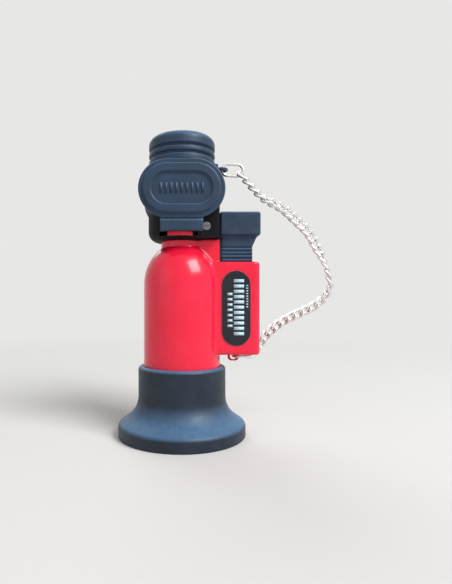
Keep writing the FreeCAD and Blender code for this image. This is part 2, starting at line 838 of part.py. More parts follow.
# ---- trigger, lever and adjuster -------------------------------------------------------
def trigger():
    """The thumb block on its ribbed stem, with the pocket for the lever's tip."""
    x1 = block_x0 + block_w
    z1 = block_z0 + block_h
    thumb = block(block_x0, x1, -block_half_y, block_half_y, block_z0, z1)
    thumb = rounded(thumb, block_edge, lambda e: level(e, z1) or e.BoundBox.XMin > x1 - TOUCH)
    y = riser_half_y
    stem = block(stem_x0, stem_x1, -y, y, stem_bottom, block_z0 + PAST)
    gusset_points = [
        (stem_x1 - PAST, block_z0 + PAST),
        (stem_x1 - PAST, block_z0 - gusset_drop - PAST),
        (stem_x1, block_z0 - gusset_drop),
        (x1 - block_edge, block_z0),
        (x1 - block_edge, block_z0 + PAST),
    ]
    gusset = polygon_y(gusset_points, -y, y)
    body = thumb.fuse([stem, gusset])
    cuts = []
    ribs = int((block_z0 - gusset_drop / 2 - stem_bottom) / rib_pitch)
    for n in range(1, ribs):
        z0 = stem_bottom + n * rib_pitch
        for side in (-1, 1):
            inner = side * (y - rib_deep)
            outer = side * (y + PAST)
            cuts.append(
                block(stem_x0 - PAST, x1, min(inner, outer), max(inner, outer), z0, z0 + rib_gap)
            )
    floor = block_z0 + pocket_floor_up
    roof = z1 - pocket_roof_t
    pocket_x1 = x1 - pocket_end
    low_roof = pivot_z + lever_half_t + PLAY
    pocket_points = [
        (block_x0 - PAST, floor),
        (pocket_x1, floor),
        (pocket_x1, low_roof),
        (block_x0, roof),
        (block_x0 - PAST, roof),
    ]
    pocket_y = lever_half_y + pocket_side
    pocket = polygon_y(pocket_points, -pocket_y, pocket_y)
    reach = lead_r + lead_gap
    groove = block(
        block_x0 - PAST, lead_x + reach, lead_y - reach, lead_y + reach, stem_bottom - PAST, roof
    )
    return body.cut(cuts + [pocket, groove])


def valve_lever():
    """The rocking lever: a hub on the housing's boss, a fork at the valve, a long tip."""
    y = lever_half_y
    z0 = pivot_z - lever_half_t
    z1 = pivot_z + lever_half_t
    slot_x = stem_collar_r + fork_slot_past
    slot_y = valve_stem_r + fork_play
    hub = cylinder_y(lever_hub_r, -y, y, pivot_x, pivot_z)
    arm = block(slot_x, lever_tip_x, -y, y, z0, z1)
    fork = block(fork_tip_x, slot_x + PAST, -fork_half_y, fork_half_y, z0, z1)
    slot = block(fork_tip_x - PAST, slot_x, -slot_y, slot_y, z0 - PAST, z1 + PAST)
    bore = cylinder_y(pivot_boss_r + RUN, -y - PAST, y + PAST, pivot_x, pivot_z)
    return hub.fuse([arm, fork]).cut([slot, bore]).removeSplitter()


def flame_adjuster():
    """The ring round the valve with the flat lever strip that shows in the slot."""
    z0 = slot_z
    z1 = slot_z + adjuster_t
    ring = cylinder(adjuster_ring_r, z0, z1)
    span = adjuster_to - adjuster_from
    strip = Part.makeCylinder(adjuster_tip_r, z1 - z0, Vector(0, 0, z0), Vector(0, 0, 1), span)
    strip.rotate(Vector(0, 0, 0), Vector(0, 0, 1), -90 + adjuster_from)
    return ring.fuse(strip).cut(cylinder(outlet_top_r + RUN, z0 - PAST, z1 + PAST)).removeSplitter()


# ---- burner ----------------------------------------------------------------------------
def jet_holder():
    """The brass body that the housing's webs grip, over the valve stem."""
    top = mix_z + jet_spigot_h
    body = cylinder(jet_body_r, jet_z, mix_z).fuse(cylinder(jet_spigot_r, mix_z - PAST, top))
    groove = tube_ring(jet_groove_r, jet_body_r + PAST, web_z - SNUG, web_z + web_t + SNUG)
    bores = [
        cylinder(valve_stem_r + RUN, jet_z - PAST, stem_top + stem_lift + jet_stem_gap),
        cylinder(inlet_r, jet_z, top),
        cylinder(jet_r + SNUG, top - jet_thread, top + PAST),
    ]
    return body.cut([groove] + bores)


def jet_nozzle():
    """The small screwed-in jet."""
    top = mix_z + jet_spigot_h
    body = cylinder(jet_r, top - jet_thread, top).fuse(cylinder(jet_head_r, top, top + jet_head_h))
    return body.cut(cylinder(jet_orifice_r, top - jet_thread - PAST, top + jet_head_h + PAST))


def mixing_tube():
    """The tube where gas draws in air through its side holes."""
    tube = tube_ring(mix_in_r, mix_out_r, mix_z, mix_z + mix_len)
    for n in range(air_holes // 2):
        direction = Vector(math.cos(n * math.pi / 2), math.sin(n * math.pi / 2), 0)
        start = Vector(0, 0, mix_z + air_hole_up) - direction * (mix_out_r + PAST)
        tube = tube.cut(Part.makeCylinder(air_hole_r, 2 * (mix_out_r + PAST), start, direction))
    return tube


def burner_tube():
    """The steel tube that the flame comes out of."""
    return tube_ring(burner_in_r, burner_out_r, burner_z, burner_top)


def flame_holder():
    """The drilled disc that holds the flame inside the burner tube."""
    z0 = burner_top - holder_down
    disc = cylinder(burner_in_r - SNUG, z0, z0 + holder_t)
    holes = [cylinder(holder_hole_r, z0 - PAST, z0 + holder_t + PAST)]
    for n in range(holder_holes):
        turn = n * 2 * math.pi / holder_holes
        x = holder_ring_r * math.cos(turn)
        y = holder_ring_r * math.sin(turn)
        holes.append(cylinder(holder_hole_r, z0 - PAST, z0 + holder_t + PAST, x, y))
    return disc.cut(holes)


def nozzle_guard():
    """The metal wind guard round the burner, with the base plate that holds it."""
    out_r = top_bore_r - SNUG
    guard = cylinder(out_r, ledge_z, ledge_z + guard_h)
    hollow = cylinder(out_r - guard_wall, ledge_z + guard_base_t, ledge_z + guard_h + PAST)
    holes = [
        cylinder(burner_out_r + SNUG, ledge_z - PAST, ledge_z + guard_base_t + PAST),
        cylinder(insulator_r + SNUG, ledge_z - PAST, ledge_z + guard_base_t + PAST, electrode_x),
    ]
    return guard.cut([hollow] + holes)


def electrode_insulator():
    """The ceramic tube round the electrode."""
    top = burner_top - insulator_down
    return tube_ring(electrode_r + SNUG, insulator_r, top - insulator_h, top, electrode_x)


def electrode_pin():
    """The spark electrode, bent over the burner's mouth."""
    z0 = mix_z + lead_over_mix + lead_end
    top = burner_top + electrode_above
    points = [(electrode_x, 0, z0), (electrode_x, 0, top), (electrode_over, 0, top)]
    return pipe(points, electrode_r, electrode_bend)


# ---- cap and chain ---------------------------------------------------------------------
def nozzle_cap():
    """The round ribbed cap over the nozzle, with its tongue for the chain's ring."""
    z1 = cap_z + cap_h
    body = rounded(cylinder(cap_r, cap_z, z1), cap_edge, lambda e: level(e, z1))
    tip_x = cap_r + tongue_tip
    round_x = tip_x - tongue_half_y
    root_x = neck_ring_r + tongue_root_in
    tongue_z = cap_z - tongue_t
    y = tongue_half_y
    tongue = block(root_x, round_x, -y, y, tongue_z, cap_z)
    root = block(root_x, root_x + tongue_root_w, -y, y, tongue_z, cap_z + tongue_root_h)
    tongue = tongue.fuse([root, cylinder(tongue_half_y, tongue_z, cap_z, round_x)])
    cuts = [
        cylinder(spigot_r + RUN, cap_z - PAST, z1 - cap_top_t),
        cylinder(tongue_hole_r, tongue_z - PAST, cap_z + PAST, tip_x - tongue_hole_in),
    ]
    for up in cap_groove_up:
        z0 = cap_z + up - cap_groove_w / 2
        cuts.append(tube_ring(cap_r - cap_groove_deep, cap_r + PAST, z0, z0 + cap_groove_w))
    return body.fuse(tongue).cut(cuts)


def cap_ring():
    """The long wire ring in the cap's tongue."""
    tilt = math.radians(ring_tilt)
    along = Vector(math.cos(tilt), 0, -math.sin(tilt))
    hole_x = cap_r + tongue_tip - tongue_hole_in
    bend_middle = Vector(hole_x + ring_w / 2, 0, cap_z - tongue_t / 2)
    middle = bend_middle + along * ((ring_len - ring_w) / 2)
    return laid(wire_loop(ring_len, ring_w, ring_wire_r), middle, along, 0)


def chain_joints():
    """The points where neighbouring links hook into each other."""
    curve = Part.BSplineCurve()
    curve.interpolate([Vector(*p) for p in chain_route])
    edge = curve.toShape()
    count = 2 * round(edge.Length / link_pitch / 2)
    print(f"chain {edge.Length:.1f} long, {count} links, pitch {edge.Length / count:.3f}")
    return edge.discretize(count + 1)


def chain_links():
    """The chain: links that each stand across their neighbours."""
    joints = chain_joints()
    link = wire_loop(link_len, link_w, link_wire_r)
    links = []
    for n, (a, b) in enumerate(zip(joints, joints[1:])):
        links.append(laid(link, (a + b) / 2, b - a, 90 * (n + 1)))
    return Part.makeCompound(links)


def anchor_ring():
    """The wire ring in the lug under the side box."""
    lug = Vector(tank_r + lug_x, lug_y, box_z0 - lug_hole_down)
    turn = math.radians(anchor_turn)
    along = Vector(math.cos(turn), math.sin(turn), -anchor_drop).normalize()
    return laid(wire_loop(anchor_len, anchor_w, anchor_wire_r), lug + along * (anchor_len / 2), along, 90)


def main():
    """Build every piece and write one STEP file for each."""
    front, rear = head_shells()
    nodes = {"head_shell_front": front, "head_shell_rear": rear}
    for make in (
        stand_base, tank_shell, label_plate, tank_bottom_plug,
        fill_valve_body, fill_valve_stem, fill_valve_seal, fill_valve_spring,
        outlet_valve_body, outlet_valve_stem, outlet_valve_seal, outlet_valve_spring, outlet_wick,
        piezo_case, piezo_plunger, piezo_spring, piezo_lead,
        head_screws, front_oval_cover, rear_oval_cover,
        trigger, valve_lever, flame_adjuster,
        jet_holder, jet_nozzle, mixing_tube, burner_tube, flame_holder, nozzle_guard,
        electrode_insulator, electrode_pin,
        nozzle_cap, cap_ring, chain_links, anchor_ring,
    ):
        nodes[make.__name__] = make()
    os.makedirs("parts", exist_ok=True)
    for name, shape in nodes.items():
        solids = len(shape.Solids)
        box = shape.BoundBox
        size = f"{box.XLength:.1f} x {box.YLength:.1f} x {box.ZLength:.1f}"
        print(f"{name}: {solids} solid(s), valid {shape.isValid()}, {shape.Volume:.1f} mm3, {size}")
        shape.exportStep(f"parts/{name}.step")


main()
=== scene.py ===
import json
import math

import bmesh
import bpy
import numpy as np
from mathutils import Matrix, Vector


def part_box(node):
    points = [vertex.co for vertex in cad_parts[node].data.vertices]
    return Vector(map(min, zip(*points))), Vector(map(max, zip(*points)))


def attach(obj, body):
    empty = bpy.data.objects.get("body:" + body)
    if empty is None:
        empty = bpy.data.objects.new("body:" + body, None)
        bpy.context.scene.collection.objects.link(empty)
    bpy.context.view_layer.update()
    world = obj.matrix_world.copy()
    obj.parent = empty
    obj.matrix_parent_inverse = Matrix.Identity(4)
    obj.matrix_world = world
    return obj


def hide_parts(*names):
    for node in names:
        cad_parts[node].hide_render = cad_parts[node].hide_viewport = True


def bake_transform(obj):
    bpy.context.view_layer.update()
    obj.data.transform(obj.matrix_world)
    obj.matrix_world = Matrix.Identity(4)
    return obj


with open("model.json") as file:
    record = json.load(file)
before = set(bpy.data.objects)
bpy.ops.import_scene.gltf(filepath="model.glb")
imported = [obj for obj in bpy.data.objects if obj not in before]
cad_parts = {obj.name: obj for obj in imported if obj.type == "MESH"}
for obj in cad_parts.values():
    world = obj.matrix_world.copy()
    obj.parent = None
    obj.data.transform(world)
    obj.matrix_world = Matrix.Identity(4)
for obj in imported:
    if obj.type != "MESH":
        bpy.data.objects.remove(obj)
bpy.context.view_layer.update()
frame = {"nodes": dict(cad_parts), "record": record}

# Pocket butane torch in its flared stand, with its cap on a curb chain. Lengths in metres;
# MM turns a size in millimetres into metres. +X is the trigger's side and -Y is the front.
MM = 0.001


# ---- camera --------------------------------------------------------------------------------
def add_camera():
    """The photograph's view: close, level, from the front."""
    data = bpy.data.cameras.new("camera")
    data.sensor_width = 36
    data.lens = 27.5
    data.shift_x = 0.0702
    data.shift_y = 0.0137
    data.clip_start = 0.01
    camera = bpy.data.objects.new("camera", data)
    camera.location = (1.2 * MM, -177 * MM, 52.9 * MM)
    camera.rotation_euler = (math.radians(90), 0, 0)
    bpy.context.scene.collection.objects.link(camera)
    bpy.context.scene.camera = camera


# ---- chain ---------------------------------------------------------------------------------
# The chain's route from the cap's ring to the ring under the side box.
CHAIN_ROUTE = [
    (0.0232, 0.0, 0.1030),
    (0.0274, 0.0003, 0.0979),
    (0.0331, 0.001, 0.0928),
    (0.0399, 0.002, 0.0902),
    (0.0459, 0.003, 0.0851),
    (0.0516, 0.004, 0.0800),
    (0.0554, 0.005, 0.0734),
    (0.0587, 0.006, 0.0679),
    (0.0613, 0.007, 0.0591),
    (0.0599, 0.008, 0.0546),
    (0.0552, 0.0086, 0.0504),
    (0.0489, 0.0092, 0.0475),
    (0.0425, 0.0098, 0.0445),
    (0.0370, 0.0106, 0.0399),
    (0.0344, 0.0111, 0.0370),
    (0.0325, 0.0110, 0.0338),
    (0.0306, 0.0099, 0.0313),
    (0.0274, 0.00735, 0.02995),
]
LINK_PITCH = 3.39 * MM
LINK_HALF_LEN = 2.4 * MM
LINK_HALF_W = 1.5 * MM
LINK_TWIST = 0.75 * MM
LINK_WIRE_R = 0.6 * MM
# How far the flat chain is turned round its own line, in degrees, at parts of its length.
CHAIN_TURNS = [(0.0, 70), (0.12, 60), (0.25, 10), (0.40, 10), (0.50, 80), (0.60, 60), (0.68, 5), (1, 40)]


def route_points():
    """Closely spaced points of the chain's line, from its NURBS spline."""
    data = bpy.data.curves.new("chain_route", "CURVE")
    data.dimensions = "3D"
    data.resolution_u = 24
    spline = data.splines.new("NURBS")
    spline.points.add(len(CHAIN_ROUTE) - 1)
    for point, place in zip(spline.points, CHAIN_ROUTE):
        point.co = (*place, 1)
    spline.order_u = 3
    spline.use_endpoint_u = True
    curve = bpy.data.objects.new("chain_route", data)
    mesh = bpy.data.meshes.new_from_object(curve)
    points = [v.co.copy() for v in mesh.vertices]
    bpy.data.objects.remove(curve)
    bpy.data.meshes.remove(mesh)
    return points


def line_length(points):
    return sum((b - a).length for a, b in zip(points, points[1:]))


def at_length(points, wanted):
    """The point at a length along a line, and the line's direction there."""
    done = 0.0
    for a, b in zip(points, points[1:]):
        step = (b - a).length
        if done + step >= wanted or b is points[-1]:
            return a + (b - a) * ((wanted - done) / step), (b - a).normalized()
        done += step


def link_loop(turn, steps=40):
    """One twisted curb link's wire centre, along +X and flat in XY, turned round X."""
    spin = Matrix.Rotation(turn, 3, "X")
    loop = []
    for i in range(steps):
        a = 2 * math.pi * i / steps
        x = LINK_HALF_LEN * math.copysign(abs(math.cos(a)) ** 0.8, math.cos(a))
        y = LINK_HALF_W * math.copysign(abs(math.sin(a)) ** 0.85, math.sin(a))
        z = LINK_TWIST * math.sin(2 * a)
        loop.append(spin @ Vector((x, y, z)))
    return loop


def closed_wire(bm, loop, radius, sides=12):
    """A closed round wire along a loop of points."""
    rings = []
    count = len(loop)
    middle = sum(loop, Vector()) / count
    for i, here in enumerate(loop):
        along = (loop[(i + 1) % count] - loop[i - 1]).normalized()
        out = here - middle
        out = (out - along * out.dot(along)).normalized()
        side = along.cross(out)
        ring = []
        for j in range(sides):
            a = 2 * math.pi * j / sides
            ring.append(bm.verts.new(here + (out * math.cos(a) + side * math.sin(a)) * radius))
        rings.append(ring)
    for i, ring in enumerate(rings):
        after = rings[(i + 1) % count]
        for j in range(sides):
            k = (j + 1) % sides
            bm.faces.new((ring[j], ring[k], after[k], after[j]))


def add_piece(name, bm, material, body=None):
    """A finished mesh object from a bmesh, smooth, with its material and slot."""
    bmesh.ops.recalc_face_normals(bm, faces=bm.faces)
    for face in bm.faces:
        face.smooth = True
    mesh = bpy.data.meshes.new(name)
    bm.to_mesh(mesh)
    bm.free()
    mesh.materials.append(material)
    piece = bpy.data.objects.new(name, mesh)
    bpy.context.scene.collection.objects.link(piece)
    if body:
        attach(piece, body)
    return piece


def turn_at(share):
    """The chain's turn round its own line at a share of its length, in radians."""
    places = [place for place, _ in CHAIN_TURNS]
    angles = [angle for _, angle in CHAIN_TURNS]
    return math.radians(float(np.interp(share, places, angles)))


def add_chain(material):
    """The curb chain between the two rings, one closed wire per link."""
    points = route_points()
    length = line_length(points)
    count = round(length / LINK_PITCH)
    pitch = length / count
    bm = bmesh.new()
    for i in range(count):
        place, along = at_length(points, (i + 0.5) * pitch)
        across = along.cross(Vector((0, 1, 0))).normalized()
        facing = across.cross(along)
        frame_of_link = Matrix((along, across, facing)).transposed()
        loop = [place + frame_of_link @ p for p in link_loop(turn_at((i + 0.5) / count))]
        closed_wire(bm, loop, LINK_WIRE_R)
    chain = add_piece("curb_chain", bm, material)
    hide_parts("chain_links")
    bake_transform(chain)


# ---- skins of distance fields -----------------------------------------------------------------
# A moulding is written as a field over x, y and z in millimetres: below 0 inside, above 0
# outside. Its skin is the mesh where the field is 0.
def blended(first, second, width):
    """Two fields joined, with the crease between them filled to a soft hollow."""
    share = np.clip(0.5 + 0.5 * (second - first) / width, 0, 1)
    return second + (first - second) * share - width * share * (1 - share)


def carved(body, tool, width=0.2):
    """A field with another one cut out of it, its new edges softened."""
    return -blended(-body, tool, width)


def met(first, second, width=0.4):
    """What two fields share, with the edge between them softened."""
    return -blended(-first, -second, width)


def slab(value, low, high):
    """The space between two parallel planes."""
    return np.abs(value - (low + high) / 2) - (high - low) / 2


def rounded_pair(a, b, radius):
    """The space in both of two slabs, with edges rounded to a radius."""
    a = a + radius
    b = b + radius
    return np.hypot(np.maximum(a, 0), np.maximum(b, 0)) + np.minimum(np.maximum(a, b), 0) - radius


def stadium_field(x, z, width, height, mid_z):
    """A long oval in the XZ plane, with round ends left and right."""
    half = (width - height) / 2
    return np.hypot(x - np.clip(x, -half, half), z - mid_z) - height / 2


def edge_crossings(value, step, low):
    """The mean point where the field changes sign round each grid cell, and how many points."""
    cells = tuple(n - 1 for n in value.shape)
    sums = np.zeros(cells + (3,))
    found = np.zeros(cells)
    corner = np.stack(np.meshgrid(*[np.arange(n) for n in cells], indexing="ij"), -1)
    for axis in range(3):
        others = [n for n in range(3) if n != axis]
        for b in (0, 1):
            for c in (0, 1):
                start = [0, 0, 0]
                start[others[0]] = b
                start[others[1]] = c
                end = list(start)
                end[axis] = 1
                v0 = value[tuple(slice(o, o + n) for o, n in zip(start, cells))]
                v1 = value[tuple(slice(o, o + n) for o, n in zip(end, cells))]
                crosses = (v0 < 0) != (v1 < 0)
                share = np.where(crosses, v0 / np.where(crosses, v0 - v1, 1), 0)
                place = corner + np.array(start, float)
                place[..., axis] += share
                sums += place * crosses[..., None]
                found += crosses
    points = low + step * sums / np.maximum(found, 1)[..., None]
    return points, found


def cell_quads(value, number):
    """One quad round each grid edge where the field changes sign, facing out."""
    quads = []
    inside = value < 0
    for axis in range(3):
        b, c = [n for n in range(3) if n != axis]
        here = [slice(1, -1)] * 3
        here[axis] = slice(0, -1)
        after = list(here)
        after[axis] = slice(1, None)
        leaves = inside[tuple(here)] & ~inside[tuple(after)]
        enters = ~inside[tuple(here)] & inside[tuple(after)]
        corners = []
        for db, dc in ((-1, -1), (0, -1), (0, 0), (-1, 0)):
            spans = [slice(0, n) for n in number.shape]
            spans[b] = slice(1 + db, number.shape[b] + db)
            spans[c] = slice(1 + dc, number.shape[c] + dc)
            corners.append(number[tuple(spans)])
        ring = np.stack(corners, -1)
        flip = axis == 1
        quads.append(ring[enters if flip else leaves])
        quads.append(ring[leaves if flip else enters][:, ::-1])
    return np.concatenate(quads)


def settled(points, field, step):
    """The points moved along the field's slope until they lie on its skin."""
    h = step / 20
    for _ in range(3):
        x, y, z = points.T
        value = field(x, y, z)
        slope = np.stack([
            field(x + h, y, z) - field(x - h, y, z),
            field(x, y + h, z) - field(x, y - h, z),
            field(x, y, z + h) - field(x, y, z - h),
        ], -1) / (2 * h)
        size = np.maximum((slope**2).sum(-1), 0.2)
        move = slope * (value / size)[:, None]
        points = points - np.clip(move, -step, step)
    return points


def skin(name, field, low, high, step, material, body, nodes):
    """The skin of a field between two corners in millimetres, as a piece for CAD nodes."""
    low = np.array(low, float)
    axes = [np.arange(a, b + step, step) for a, b in zip(low, high)]
    value = field(*np.meshgrid(*axes, indexing="ij"))
    points, found = edge_crossings(value, step, low)
    used = found > 0
    number = np.full(used.shape, -1)
    number[used] = np.arange(used.sum())
    quads = cell_quads(value, number)
    points = settled(points[used], field, step)
    mesh = bpy.data.meshes.new(name)
    mesh.from_pydata((points * MM).tolist(), [], quads.tolist())
    mesh.validate()
    mesh.shade_smooth()
    mesh.materials.append(material)
    piece = bpy.data.objects.new(name, mesh)
    bpy.context.scene.collection.objects.link(piece)
    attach(piece, body)
    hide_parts(*nodes)
    return piece


def span(node):
    """A CAD node's lowest and highest corner, in millimetres."""
    low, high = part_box(node)
    return np.array(low) / MM, np.array(high) / MM


# ---- tank ------------------------------------------------------------------------------------
# Sizes of the mouldings are in millimetres. A pair is the lowest and the highest value.
TANK_R = 15.0
TANK_WALL = 1.8
SHOULDER_Z = 58.9
DOME_H = 17.0
NECK_R = 8.15
NECK_BORE_R = 5.5
NECK_TOP = 76.67
FOOT_Z = 8.0  # the tank's bottom, on the socket's floor
FOOT_EDGE = 0.7
BOX_X0 = 7.5  # inside the tank's wall, so that the two join
BOX_X1 = span("tank_shell")[1][0]
BOX_HALF_Y = 8
BOX_Z = (32.0, 67.5)
RISER_X = (6.2, 14.5)
RISER_HALF_Y = 6
RISER_Z = (58, 76.2)
LUG_X = (18.4, 23.0)
LUG_Y = (3.1, 4.5)
LUG_Z = (28.4, 34.0)
LUG_HOLE = (20.7, 30.2)
LUG_HOLE_R = 1.3
CAVITY_X = (15.18, 27.22)
CAVITY_HALF_Y = 6.12
CAVITY_Z = (34.0, 80.0)


def dome_field(x, y, z, radius, height, neck):
    """An upright cylinder whose shoulder is an ellipse, with a neck on top."""
    r = np.hypot(x, y)
    up = np.maximum(z - SHOULDER_Z, 0)
    dome = (np.hypot(r / radius, up / height) - 1) * radius
    return blended(dome, r - neck, 0.35)


def tank_field(x, y, z):
    """The tank with its side box, its riser and the chain's lug, hollow as the CAD node is."""
    body = dome_field(x, y, z, TANK_R, DOME_H, NECK_R)
    body = met(body, slab(z, FOOT_Z, NECK_TOP), FOOT_EDGE)
    side = rounded_pair(slab(x, BOX_X0, BOX_X1), slab(y, -BOX_HALF_Y, BOX_HALF_Y), 2.3)
    side = rounded_pair(side, slab(z, *BOX_Z), 0.9)
    body = blended(body, side, 1.0)
    riser = rounded_pair(slab(x, *RISER_X), slab(y, -RISER_HALF_Y, RISER_HALF_Y), 0.6)
    riser = rounded_pair(riser, slab(z, *RISER_Z), 0.4)
    body = blended(body, riser, 0.6)
    lug = rounded_pair(slab(x, *LUG_X), slab(z, *LUG_Z), 1.5)
    lug = rounded_pair(lug, slab(y, *LUG_Y), 0.35)
    lug = carved(lug, np.hypot(x - LUG_HOLE[0], z - LUG_HOLE[1]) - LUG_HOLE_R, 0.2)
    body = blended(body, lug, 0.6)
    cavity = np.maximum(slab(x, *CAVITY_X), slab(y, -CAVITY_HALF_Y, CAVITY_HALF_Y))
    cavity = np.maximum(cavity, slab(z, *CAVITY_Z))
    body = carved(body, cavity, 0.3)
    bore = dome_field(x, y, z, TANK_R - TANK_WALL, DOME_H - TANK_WALL, NECK_BORE_R)
    return np.maximum(body, -bore)


def add_tank(material):
    low, high = span("tank_shell")
    skin("tank_moulding", tank_field, low - 1, high + 1, 0.36, material,
         "torch", ["tank_shell"])


# ---- covers, trigger and cap ---------------------------------------------------------------------
DRUM_Z = 93.97  # the middle of the housing's drum
HEAD_R = 13.25  # the housing's round part, with the covers' clearance
FLAT_Y = 12.85  # the housing's flat front and back, with the same clearance
PANEL_Y = 14.1  # the sunk panels' floor
FLANGE_SIZE = (32.1, 21.8)
FLANGE_Y = (12.82, 13.9)
OVAL_SIZE = (28.5, 18.2)
OVAL_Y = (13.0, 15.0)
PANEL_SIZE = (22.9, 12.1)
TAB_HALF_W = 7.9
TAB_Z = (78.32, 82.42)
TAB_Y = (6.6, 14.0)


def oval_field(x, out, z):
    """A cover's flange, raised oval and sunk panel; out is the distance from the middle plane."""
    flange = rounded_pair(stadium_field(x, z, *FLANGE_SIZE, DRUM_Z), slab(out, *FLANGE_Y), 0.4)
    oval = rounded_pair(stadium_field(x, z, *OVAL_SIZE, DRUM_Z), slab(out, *OVAL_Y), 0.45)
    body = blended(flange, oval, 0.15)
    panel = np.maximum(stadium_field(x, z, *PANEL_SIZE, DRUM_Z), PANEL_Y - out)
    return carved(body, panel, 0.2)


def front_cover_field(x, y, z):
    """The front cover with the tab that hangs from its lower edge round the housing."""
    out = -y
    wide = slab(x, -TAB_HALF_W, TAB_HALF_W)
    tab = rounded_pair(wide, slab(z, *TAB_Z), 0.5)
    tab = rounded_pair(tab, slab(out, *TAB_Y), 0.45)
    bridge = rounded_pair(wide, slab(out, TAB_Y[0], 13.4), 0.2)
    bridge = np.maximum(bridge, slab(z, 81.9, 83.6))
    flat = np.where(z > 82.1, out - FLAT_Y, -1.0)
    housing = np.maximum(np.hypot(x, y) - HEAD_R, flat)
    side = np.maximum(slab(x, 0, 14.35), slab(y, -10.05, 0))
    hung = np.maximum(blended(tab, bridge, 0.3), -np.minimum(housing, side))
    return blended(oval_field(x, out, z), hung, 0.15)


def rear_cover_field(x, y, z):
    return oval_field(x, y, z)


THUMB_X = (14.5, 30.0)
THUMB_HALF_Y = 8
THUMB_Z = (77.5, 86.6)
STEM_X = (15.3, 27.1)
STEM_HALF_Y = 6
STEM_Z = (60.0, 79.0)
GUSSET_Z = 73.5  # where the gusset under the thumb block starts
GUSSET_SLOPE = (0.912, 0.411)  # the slanted face's normal, out and down
RIB_BASE = 60.3
RIB_PITCH = 1.42
RIB_COUNT = 9
GROOVE_HALF_H = 0.32
GROOVE_FLOOR_Y = 5.45
POCKET_HALF_Y = 1.9
POCKET_X1 = 27.8
POCKET_Z0 = 79.6
POCKET_ROOF = 85.0
ROOF_FALL = 0.247  # how much the pocket's roof falls per millimetre of x
LEAD_Y = (2.1, 3.7)
LEAD_X1 = 16.9


def trigger_field(x, y, z):
    """The thumb block on its ribbed stem, with the lever's pocket and the lead's groove."""
    thumb = rounded_pair(slab(z, *THUMB_Z), slab(y, -THUMB_HALF_Y, THUMB_HALF_Y), 0.9)
    thumb = rounded_pair(thumb, slab(x, *THUMB_X), 0.9)
    thick = slab(y, -STEM_HALF_Y, STEM_HALF_Y)
    stem = np.maximum(rounded_pair(slab(x, *STEM_X), thick, 0.3), slab(z, *STEM_Z))
    slope = (x - STEM_X[1]) * GUSSET_SLOPE[0] - (z - GUSSET_Z) * GUSSET_SLOPE[1]
    gusset = rounded_pair(slope, thick, 0.3)
    gusset = np.maximum(np.maximum(gusset, 26.0 - x), slab(z, 70.0, STEM_Z[1]))
    body = blended(blended(stem, gusset, 0.2), thumb, 0.5)
    nearest = np.clip(np.round((z - RIB_BASE) / RIB_PITCH), 1, RIB_COUNT)
    groove = np.abs(z - RIB_BASE - nearest * RIB_PITCH) - GROOVE_HALF_H
    groove = np.maximum(groove, GROOVE_FLOOR_Y - np.abs(y))
    body = carved(body, np.maximum(groove, z - 77.0), 0.22)
    roof = POCKET_ROOF - ROOF_FALL * (x - THUMB_X[0])
    pocket = np.maximum(slab(y, -POCKET_HALF_Y, POCKET_HALF_Y), x - POCKET_X1)
    pocket = np.maximum(pocket, np.maximum(POCKET_Z0 - z, z - roof))
    lead = np.maximum(np.maximum(slab(y, *LEAD_Y), x - LEAD_X1), z - POCKET_ROOF)
    return carved(body, np.minimum(pocket, lead), 0.2)


CAP_Z = 104.97
CAP_R = 13.0
CAP_H = 11.4
CAP_BORE_R = 10.68
CAP_BORE_H = 9.0
CAP_GROOVES = (2.9, 5.7)  # heights above the cap's rim
GROOVE_FLOOR_R = 12.0
TONGUE_HALF_W = 2.4
TONGUE_X = (12.8, 15.8)
TONGUE_HOLE_X = 15.9
TONGUE_HOLE_R = 1.3


def cap_field(x, y, z):
    """The hollow cap with its two grooves and the tongue that holds the chain's ring."""
    r = np.hypot(x, y)
    body = rounded_pair(r - CAP_R, z - (CAP_Z + CAP_H), 3.0)
    body = met(body, CAP_Z - z, 0.4)
    for up in CAP_GROOVES:
        across = slab(z, CAP_Z + up - 0.6, CAP_Z + up + 0.6)
        body = carved(body, rounded_pair(GROOVE_FLOOR_R - r, across, 0.35), 0.45)
    tongue = np.hypot(x - np.clip(x, *TONGUE_X), y) - TONGUE_HALF_W
    tongue = rounded_pair(tongue, slab(z, CAP_Z - 1.0, CAP_Z), 0.25)
    root = np.maximum(slab(y, -TONGUE_HALF_W, TONGUE_HALF_W), slab(z, CAP_Z - 1, CAP_Z + 1.3))
    root = np.maximum(slab(x, 12.2, 14.2), root)
    starts = TONGUE_X[0]
    tongue = blended(np.maximum(tongue, starts - x), np.maximum(root, starts - r), 0.3)
    tongue = carved(tongue, np.hypot(x - TONGUE_HOLE_X, y) - TONGUE_HOLE_R, 0.2)
    body = blended(body, tongue, 0.4)
    return carved(body, np.maximum(r - CAP_BORE_R, z - (CAP_Z + CAP_BORE_H)), 0.3)


def add_mouldings(materials):
    """The covers, the trigger and the cap."""
    jobs = [
        ("front_cover", front_cover_field, 0.21, "cover_black", "torch", "front_oval_cover"),
        ("rear_cover", rear_cover_field, 0.21, "cover_black", "torch", "rear_oval_cover"),
        ("thumb_trigger", trigger_field, 0.2, "cover_black", "trigger_unit", "trigger"),
        ("ribbed_cap", cap_field, 0.25, "cover_black", "cap", "nozzle_cap"),
    ]
    for name, field, step, slot, body, node in jobs:
        low, high = span(node)
        skin(name, field, low - 0.7, high + 0.7, step, materials[slot], body, [node])


